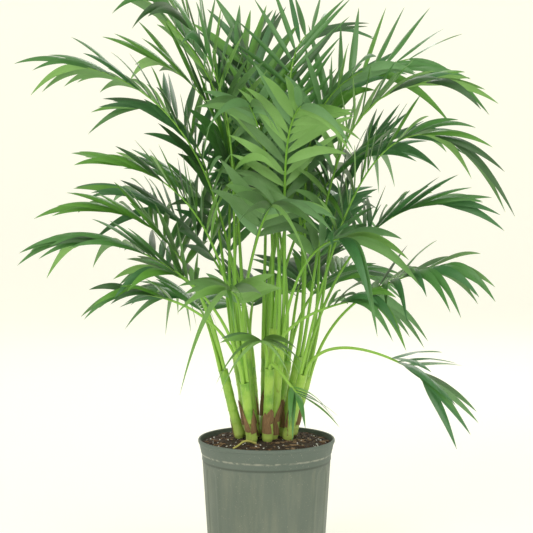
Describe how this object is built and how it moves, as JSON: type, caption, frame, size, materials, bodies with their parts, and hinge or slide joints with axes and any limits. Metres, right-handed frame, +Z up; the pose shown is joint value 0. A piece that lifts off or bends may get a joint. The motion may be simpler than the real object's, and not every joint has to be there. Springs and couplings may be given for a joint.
{
  "type": "potted cat palm",
  "caption": "Clumping feather palm with arching fronds of narrow leaflets on slim green stems, standing in a round nursery pot with arched side panels.",
  "frame": {"origin": "middle of the pot's flat underside, on the surface that the pot stands on", "axes": "+Z up the pot and the plant, front (the side that the picture shows) at -Y, +X to the right seen from the front"},
  "size_m": [0.9325, 0.7637, 1.1953],
  "materials": {
    "pot_plastic": "matte",
    "potting_mix": "matte",
    "stem_green": "satin",
    "frond_green": "satin"
  },
  "bodies": {
    "root": {"frond_front_crown_1": "frond_green", "frond_front_crown_2": "frond_green", "frond_front_crown_3": "frond_green", "frond_front_low": "frond_green", "frond_front_lowest": "frond_green", "frond_front_middle": "frond_green", "frond_front_sucker": "frond_green", "frond_left_arch": "frond_green", "frond_left_crown": "frond_green", "frond_left_high": "frond_green", "frond_left_low": "frond_green", "frond_left_lowest": "frond_green", "frond_left_middle": "frond_green", "frond_left_upper": "frond_green", "frond_left_wide": "frond_green", "frond_rear_comb": "frond_green", "frond_rear_crown_1": "frond_green", "frond_rear_crown_2": "frond_green", "frond_rear_crown_3": "frond_green", "frond_rear_crown_4": "frond_green", "frond_rear_low_1": "frond_green", "frond_rear_low_2": "frond_green", "frond_rear_low_3": "frond_green", "frond_rear_low_4": "frond_green", "frond_rear_middle_1": "frond_green", "frond_rear_middle_2": "frond_green", "frond_rear_middle_3": "frond_green", "frond_rear_middle_4": "frond_green", "frond_rear_middle_5": "frond_green", "frond_rear_upper_1": "frond_green", "frond_rear_upper_2": "frond_green", "frond_rear_upper_3": "frond_green", "frond_rear_upper_4": "frond_green", "frond_right_arch": "frond_green", "frond_right_broad": "frond_green", "frond_right_crown": "frond_green", "frond_right_inner": "frond_green", "frond_right_leafy": "frond_green", "frond_right_low": "frond_green", "frond_right_lowest": "frond_green", "frond_right_middle": "frond_green", "frond_right_upper": "frond_green", "pot": "pot_plastic", "soil": "potting_mix", "stem_01": "stem_green", "stem_02": "stem_green", "stem_03": "stem_green", "stem_04": "stem_green", "stem_05": "stem_green", "stem_06": "stem_green", "stem_07": "stem_green", "stem_08": "stem_green", "stem_09": "stem_green", "stem_10": "stem_green", "stem_11": "stem_green", "stem_12": "stem_green", "stem_13": "stem_green", "stem_14": "stem_green"}
  },
  "joints": []
}
